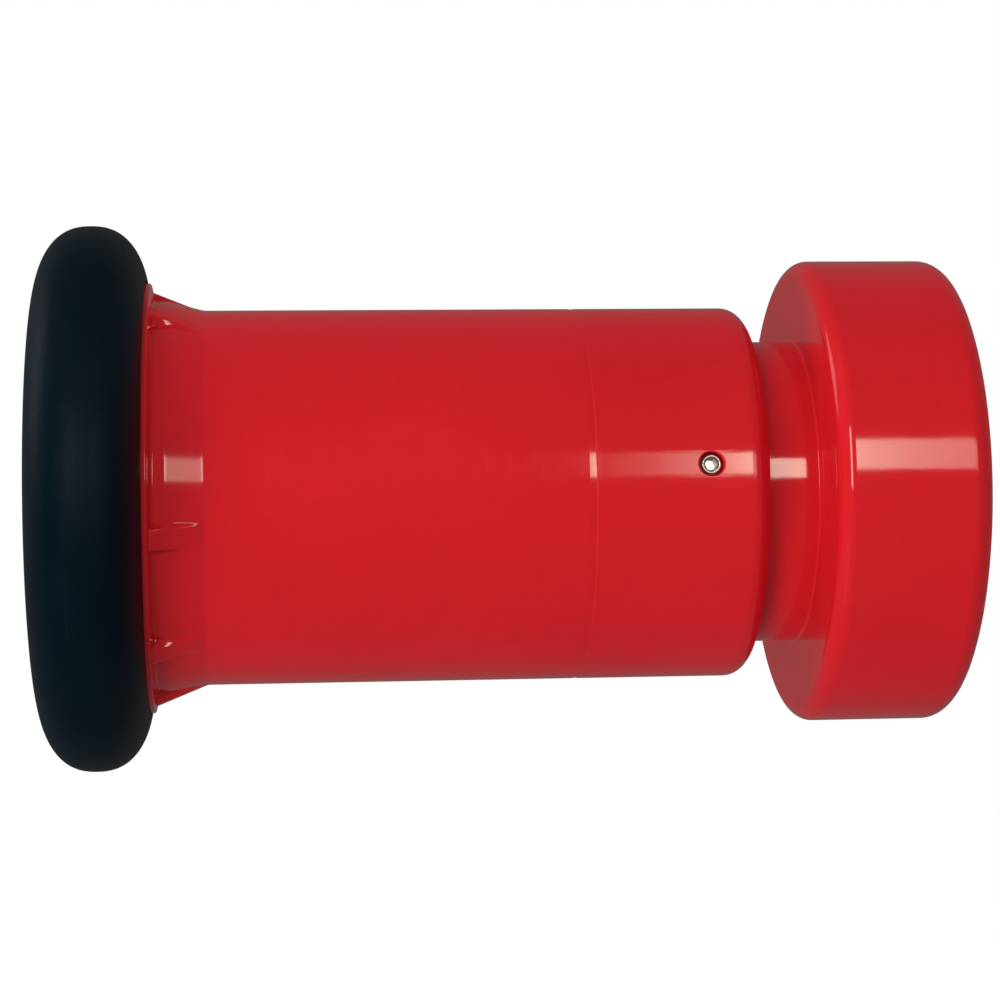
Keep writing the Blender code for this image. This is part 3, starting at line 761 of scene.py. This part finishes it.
def with_ribs(radius, height, angles):
    """Raises the gussets out of the hollow flare: straight tops, and sides that run out in small fillets."""
    pitch = math.tau / RIB_PLACES
    place = np.round((angles - FIRST_RIB) / pitch)
    sideways = np.abs(angles - FIRST_RIB - place * pitch) * radius
    raised = 1 - ease((sideways - RIB_HALF_WIDTH + 0.25) / RIB_SIDE)
    raised = np.where(place % RIB_PLACES == BARE_PLACE, 0, raised)
    along = np.clip((height - FLARE) / (FLARE_END - FLARE), 0, 1)
    top = BARREL_R + (RIB_END_R - BARREL_R) * along
    in_flare = (height > FLARE) & (height < FLARE_END + 1.0) & (radius > BARREL_R - 0.01) & (radius < top)
    return np.where(in_flare, radius + (top - radius) * raised, radius)


def barrel():
    """The sleeve, its throat and seat, the bell in front of them, and the flange that carries the bumper."""
    rear, nose, flange_r = span("barrel")
    ring_low, ring_high, ring_r = span("friction_ring")
    saddle_r = FLARE_R - 0.05
    front = [(MOUTH_R, nose, 0.4), (NOSE_R, nose, 0.3), (NOSE_R, FLANGE_FRONT, 0.2)]
    front += [(flange_r, FLANGE_FRONT, 0.5), (flange_r, FLANGE_BACK, 0.5), (saddle_r, FLANGE_BACK, 0.2)]
    flare = [(saddle_r, FLARE_END - 0.5, 0.2), (VALLEY_R, FLARE_END - 1.0, 0.7)]
    flare += [(VALLEY_R, FLARE_END - 2.8, 2.5), (BARREL_R, FLARE, 3.0)]
    line = [(BARREL_R, GRIP_LINE + 0.8, 1.5), (BARREL_R - GRIP_LINE_DEPTH, GRIP_LINE - 0.1, 0.08)]
    line += [(BARREL_R, GRIP_LINE - 0.25, 0.08)]
    end = [(BARREL_R, rear, REAR_END_FILLET), (BARREL_BORE_R + 0.2, rear, 0.15)]
    end += [(BARREL_BORE_R, rear + 0.4, 0.15)]
    ring_seat_r, low, high = ring_r + 0.45, ring_low - GAP, ring_high + GAP
    bore = [(BARREL_BORE_R, low, 0.1), (ring_seat_r, low, 0.2)]
    bore += [(ring_seat_r, high, 0.2), (BARREL_BORE_R, high, 0.1)]
    throat = SEAT - 1.6
    bore += [(BARREL_BORE_R, throat - 2.7, 0.5), (THROAT_R, throat, 0.5)]
    bore += [(THROAT_R, SEAT, 0.4), (SEAT_R, SEAT, 0.3)]
    bell = [(SEAT_R + 0.9, SEAT + 1.2, 0.6), (BELL_R, BELL_END, 4.0)]
    outline = rounded(front + flare + line + end + bore + bell, True)
    mesh = turned_mesh("barrel_surface", resampled(outline), rib_angles(), True, with_ribs)
    obj = new_object("barrel_surface", mesh, RED)
    for number in range(CAM_SCREWS):
        combine(obj, screw_hole_tool(number), "DIFFERENCE")
    finish_piece(obj, "barrel")


def resampled(outline):
    """Adds rows to the flare, where the gussets need them."""
    points = []
    count = len(outline)
    for index, point in enumerate(outline):
        points.append(point)
        after = outline[(index + 1) % count]
        outside = min(point[0], after[0]) > BARREL_R - 0.01
        if outside and FLARE - 1 < after[1] and point[1] < FLARE_END + 0.2:
            steps = math.ceil((after - point).length / RIB_ROW)
            points += [point.lerp(after, step / steps) for step in range(1, steps)]
    return points


def point_outwards(mesh, number):
    """Turns a mesh drawn along the axis so that it points out through the barrel's wall at one cam screw."""
    turn = Matrix.Rotation(math.pi / 2, 4, "Y")
    out = Matrix.Rotation(-cam_angle(number), 4, "X")
    mesh.transform(Matrix.Translation((-cam_height() * MM, 0, 0)) @ out @ turn)
    return mesh


def screw_hole_tool(number):
    """A hole through the wall with a small countersink."""
    radius, outside, inside = CAM_SCREW_R + 0.15, BARREL_R + CLEAR, BARREL_BORE_R - CLEAR
    corners = [(0, outside, 0), (radius + 1.25, outside, 0), (radius, BARREL_R - 0.25, 0.1)]
    corners += [(radius, BARREL_BORE_R - 0.3, 0), (radius + 1, inside, 0), (0, inside, 0)]
    return point_outwards(solid_tool("hole", corners, HOLE_COLUMNS), number)


def cam_screw(number):
    """A socket set screw whose dog point rides in one of the tube's grooves."""
    top, shoulder, tip = CAM_SCREW_TOP_R, BARREL_BORE_R + 0.2, TUBE_R - CAM_DEPTH + GAP
    chamfer = 0.3
    points = [(0, top, 0), (CAM_SCREW_R - chamfer, top, 0.1), (CAM_SCREW_R, top - chamfer, 0.1)]
    points += [(CAM_SCREW_R, shoulder, 0.1), (DOG_R, shoulder, 0.1), (DOG_R, tip, 0.2), (0, tip, 0)]
    name = f"cam_screw_{number + 1}"
    obj = new_object(name + "_surface", solid_tool(name, points, TINY_COLUMNS), STEEL)
    sink_r, sink_depth = 1.1, 0.35
    sink = [(0, top + CLEAR, 0), (sink_r + CLEAR, top + CLEAR, 0), (sink_r - sink_depth, top - sink_depth, 0)]
    sink += [(0, top - sink_depth, 0)]
    combine(obj, solid_tool("sink", sink, TINY_COLUMNS), "DIFFERENCE")
    combine(obj, prism_mesh("key", polygon(6, KEY_R), top - KEY_DEPTH, top + CLEAR), "DIFFERENCE")
    point_outwards(obj.data, number)
    finish_piece(obj, name)


def bumper_turn(crest_r, radius):
    """The turn, from the bumper's crest, at which its round outside has come in to this radius."""
    return math.acos((1 - (crest_r - radius) / BUMPER_CROWN) ** (BUMPER_SQUARENESS / 2))


def bumper():
    """The soft tyre round the outlet, stretched over the barrel's flange."""
    _, _, crest_r = span("bumper")
    _, nose, flange_r = span("barrel")
    front_turn, rear_turn = bumper_turn(crest_r, BUMPER_LIP_R), -bumper_turn(crest_r, FLARE_R + 0.6)
    corners = []
    for index in range(BUMPER_ROWS + 1):
        turn = front_turn + (rear_turn - front_turn) * index / BUMPER_ROWS
        across = math.cos(turn) ** (2 / BUMPER_SQUARENESS)
        along = math.copysign(abs(math.sin(turn)) ** (2 / BUMPER_SQUARENESS), turn)
        radius = crest_r - BUMPER_CROWN * (1 - across)
        corners.append((radius, BUMPER_CENTRE + BUMPER_HALF_WIDTH * along, 0))
    corners[0] = (*corners[0][:2], 0.6)
    corners[-1] = (*corners[-1][:2], 0.25)
    saddle_r, seat_r, lip_seat_r = FLARE_R + GAP, flange_r + GAP, NOSE_R + GAP
    back, front, end = FLANGE_BACK - GAP, FLANGE_FRONT + GAP, nose + GAP
    inner = [(saddle_r, corners[-1][1] + 0.5, 0.1), (saddle_r, back, 0.3), (seat_r, back, 0.4)]
    inner += [(seat_r, front, 0.4), (lip_seat_r, front, 0.2)]
    inner += [(lip_seat_r, end, 0.1), (BUMPER_LIP_R, end, 0.3)]
    mesh = turned_mesh("bumper_surface", rounded(corners + inner, True), even(BODY_COLUMNS))
    finish_piece(new_object("bumper_surface", mesh, TYRE), "bumper", TYRE_SHARP_ANGLE)


# ---------------------------------------------------------------- stage


def stage_floor():
    """A plain pale floor well below the nozzle, which its hose holds up. It reads as a studio sweep."""
    size, drop = 6.0, 0.6
    bpy.ops.mesh.primitive_plane_add(size=size, location=(0, 0, -drop))
    floor = bpy.context.object
    floor.name = "floor"
    n = Nodes("pale floor")
    n.set(Base_Color=(0.9, 0.9, 0.9, 1.0), Roughness=0.9)
    n.set(Emission_Color=(*WHITE, 1.0), Emission_Strength=0.8)
    floor.data.materials.append(n.material)
    floor.visible_glossy = False
    floor.visible_diffuse = False
    floor.visible_shadow = False


def stage_world():
    """White all round for the camera, softer as light, and dim where the gloss would mirror it."""
    world = bpy.data.worlds.new("studio")
    bpy.context.scene.world = world
    world.use_nodes = True
    tree = world.node_tree
    background = tree.nodes["Background"]
    rays = tree.nodes.new("ShaderNodeLightPath")
    lit, shown = (tree.nodes.new("ShaderNodeMix") for _ in range(2))
    first, second = MIX_NUMBERS
    lit.inputs[first].default_value = LIGHT_STRENGTH
    lit.inputs[second].default_value = MIRRORED_STRENGTH
    shown.inputs[second].default_value = 1.0
    tree.links.new(rays.outputs["Is Glossy Ray"], lit.inputs[MIX_FACTOR])
    tree.links.new(lit.outputs[0], shown.inputs[first])
    tree.links.new(rays.outputs["Is Camera Ray"], shown.inputs[MIX_FACTOR])
    tree.links.new(shown.outputs[0], background.inputs["Strength"])
    background.inputs["Color"].default_value = (*WHITE, 1.0)


def area_light(name, place, target, size, radiance, mirrored=True, colour=WHITE):
    """A softbox. Its radiance is relative to the white of the background."""
    light = bpy.data.lights.new(name, "AREA")
    light.shape = "RECTANGLE"
    light.size, light.size_y = size
    light.energy = radiance * math.pi * size[0] * size[1]
    light.color = colour
    obj = bpy.data.objects.new(name, light)
    bpy.context.scene.collection.objects.link(obj)
    obj.location = place
    obj.rotation_mode = "QUATERNION"
    obj.rotation_quaternion = (Vector(target) - Vector(place)).to_track_quat("-Z", "Y")
    obj.visible_glossy = mirrored
    obj.visible_camera = False


def window(left, peak, right, radiance):
    """A tall window in front of the nozzle, which its gloss mirrors. It is brightest at its peak.

    The three places are along X in metres. It fades smoothly to its left end, and steeply, down to a dim
    part, to its right end.
    """
    distance, elevation = 0.745, math.radians(16.9)
    height, strips, dim, fall = 0.187, 16, 0.25, 0.09
    y, z = -distance * math.cos(elevation), distance * math.sin(elevation)
    for index in range(strips):
        part = (index + 0.5) / strips
        fading = radiance * (1 - part) ** 2
        dimming = radiance * (dim + (1 - dim) * math.exp(-part / fall))
        for name, end, brightness in (("window_left", left, fading), ("window_right", right, dimming)):
            x, width = peak + (end - peak) * part, abs(end - peak) / strips
            area_light(name, (x, y, z), (x, 0, 0), (width, height), brightness, colour=WARM)


def softbox_place(target, turn, height, distance):
    """A place in front of the target, raised round the nozzle's axis and then turned towards the outlet."""
    level = math.cos(turn)
    away = Vector((-math.sin(turn), -level * math.cos(height), level * math.sin(height)))
    return Vector(target) + away * distance


def stage_lights():
    """A window for the highlight, softboxes from the outlet's side, and weak ones for the far sides."""
    middle_x = (cad_low.x + cad_high.x) / 2
    target = (middle_x, 0, 0)
    window(0.035, 0.127, 0.46, 11.2)
    turn, distance, size = math.radians(37), 1.25, (0.44, 0.8)
    for name, height, radiance in (("upper", 62, 5.6), ("middle", 0, 0.85), ("lower", -50, 7.8)):
        place = softbox_place(target, turn, math.radians(height), distance)
        area_light(name + "_softbox", place, target, size, radiance, mirrored=False)
    area_light("inlet_softbox", (middle_x + 1.0, 0.45, 0.35), target, (0.6, 0.6), 3.2, mirrored=False)
    area_light("outlet_softbox", (middle_x - 1.0, 0.45, 0.40), target, (0.5, 0.5), 1.3)
    area_light("back_softbox", (middle_x, 1.2, 0.4), target, (1.4, 1.2), 1.3, mirrored=False)
    area_light("sheen", (-0.30, -0.66, 0.19), target, (0.14, 0.36), 6.0)


def stage_camera():
    """Level with the nozzle, a little towards its outlet, and turned very slightly on its own axis."""
    centre = (cad_low + cad_high) / 2
    target = Vector((centre.x + 0.9 * MM, 0, -0.8 * MM))
    swing, roll, distance = math.radians(5.5), math.radians(0.667), 0.375
    away = Vector((-math.sin(swing), -math.cos(swing), 0))
    data = bpy.data.cameras.new("camera")
    data.sensor_width = 36
    data.lens = 93.7
    data.clip_start, data.clip_end = 0.01, 50
    camera = bpy.data.objects.new("camera", data)
    bpy.context.scene.collection.objects.link(camera)
    camera.location = target + away * distance
    camera.rotation_mode = "QUATERNION"
    camera.rotation_quaternion = (-away).to_track_quat("-Z", "Y") @ Quaternion((0, 0, 1), -roll)
    bpy.context.scene.camera = camera


# ---------------------------------------------------------------- assembly

RED = red_polycarbonate()
TYRE = bumper_rubber()
SEAL = seal_rubber()
STEEL = stainless_steel()
NYLON = white_nylon()

inlet_body()
inlet_gasket()
stem_spider()
spider_snap_ring()
baffle_stem()
baffle_head()
baffle_seal()
baffle_bolt()
plain_washer("baffle_washer")
plain_washer("stem_washer")
stem_lock_nut()
nut_nylon_ring()
for ring_node in ("front_o_ring", "rear_o_ring", "friction_ring"):
    o_ring(ring_node)
barrel()
bumper()
for screw_number in range(CAM_SCREWS):
    cam_screw(screw_number)

stage_floor()
stage_world()
stage_lights()
stage_camera()
bpy.context.scene.view_settings.view_transform = "Standard"
